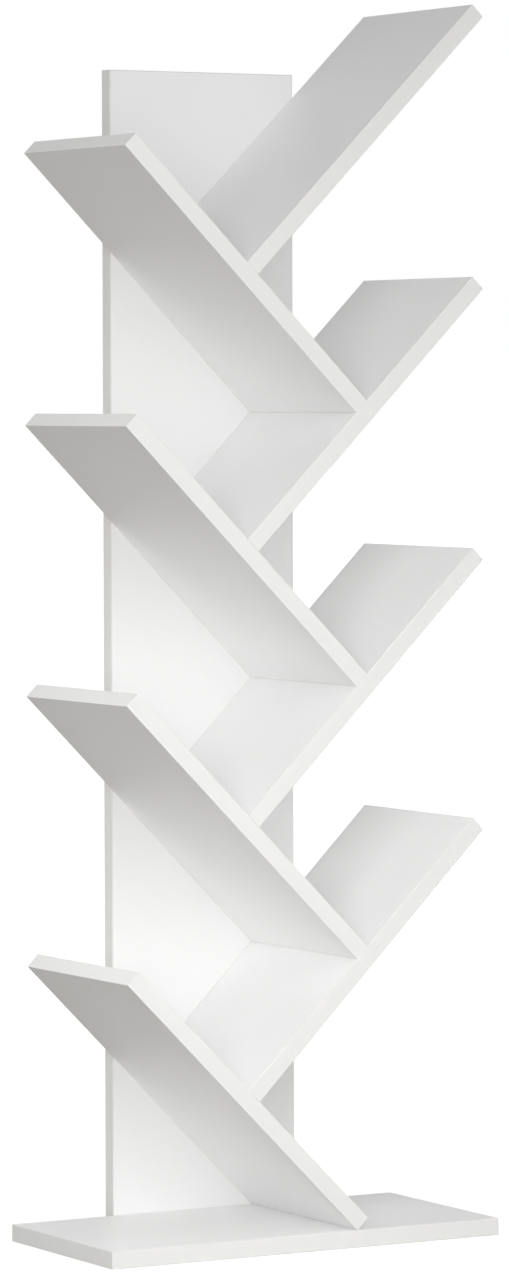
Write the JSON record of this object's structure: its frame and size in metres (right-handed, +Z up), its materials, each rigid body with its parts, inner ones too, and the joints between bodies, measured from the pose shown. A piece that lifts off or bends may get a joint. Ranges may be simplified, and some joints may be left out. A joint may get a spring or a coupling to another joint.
{
  "type": "tree-shaped bookshelf",
  "caption": "Free-standing bookshelf shaped like a tree: slanted boards branch left and right from an upright back panel over a flat base, and hold books at an angle.",
  "frame": {"origin": "on the floor, in the middle of the shelf's width and depth", "axes": "+X to the right seen from the front, +Y to the back, towards the trunk panel, +Z up"},
  "size_m": [0.46, 0.238, 1.2837],
  "materials": {
    "white_melamine_board": "satin",
    "white_edging": "satin",
    "zinc_plated_steel": "satin",
    "beech": "matte"
  },
  "bodies": {
    "root": {"trunk_panel": "white_melamine_board", "base_board": "white_melamine_board", "left_branch_1": "white_melamine_board", "right_branch_1": "white_melamine_board", "left_branch_2": "white_melamine_board", "right_branch_2": "white_melamine_board", "left_branch_3": "white_melamine_board", "right_branch_3": "white_melamine_board", "left_branch_4": "white_melamine_board", "right_branch_4": "white_melamine_board", "trunk_panel_edging": "white_edging", "base_board_edging": "white_edging", "left_branch_1_edging": "white_edging", "right_branch_1_edging": "white_edging", "left_branch_2_edging": "white_edging", "right_branch_2_edging": "white_edging", "left_branch_3_edging": "white_edging", "right_branch_3_edging": "white_edging", "left_branch_4_edging": "white_edging", "right_branch_4_edging": "white_edging", "base_board_screws": "zinc_plated_steel", "left_branch_1_screws": "zinc_plated_steel", "right_branch_1_screws": "zinc_plated_steel", "left_branch_2_screws": "zinc_plated_steel", "right_branch_2_screws": "zinc_plated_steel", "left_branch_3_screws": "zinc_plated_steel", "right_branch_3_screws": "zinc_plated_steel", "left_branch_4_screws": "zinc_plated_steel", "right_branch_4_screws": "zinc_plated_steel", "right_branch_1_dowels": "beech", "left_branch_2_dowels": "beech", "right_branch_2_dowels": "beech", "left_branch_3_dowels": "beech", "right_branch_3_dowels": "beech", "left_branch_4_dowels": "beech", "right_branch_4_dowels": "beech"}
  },
  "joints": []
}
